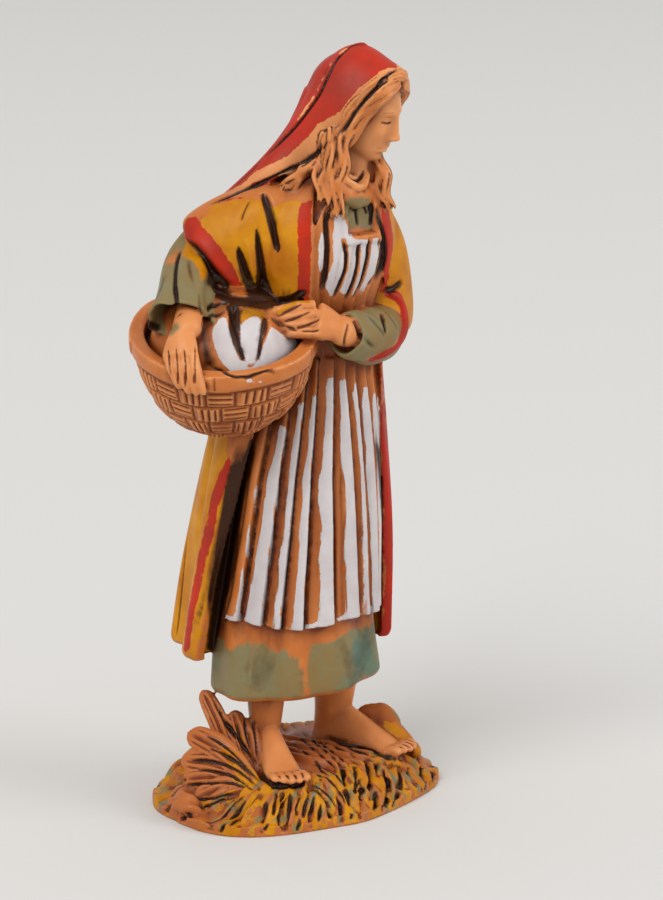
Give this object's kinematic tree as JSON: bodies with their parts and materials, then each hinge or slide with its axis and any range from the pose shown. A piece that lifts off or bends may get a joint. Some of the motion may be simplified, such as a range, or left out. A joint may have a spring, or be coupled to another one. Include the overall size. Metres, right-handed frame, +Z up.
{
  "type": "nativity figure",
  "caption": "Moulded and painted nativity figure of a barefoot woman in veil, cloak and apron, who carries a basket of washing on her hip, on an oval grassy base.",
  "frame": {"origin": "middle of the base's flat underside, on the surface that the figure stands on", "axes": "+Z up, from the underside to the top of the veil; she faces -Y, and her right hand and the basket are on -X"},
  "size_m": [0.0463, 0.0319, 0.0998],
  "materials": {
    "painted_plastic": "satin tan plastic with brown wash in the grooves and hand-brushed matt paint"
  },
  "bodies": {
    "root": {"woman_with_basket": "painted_plastic"}
  },
  "joints": []
}
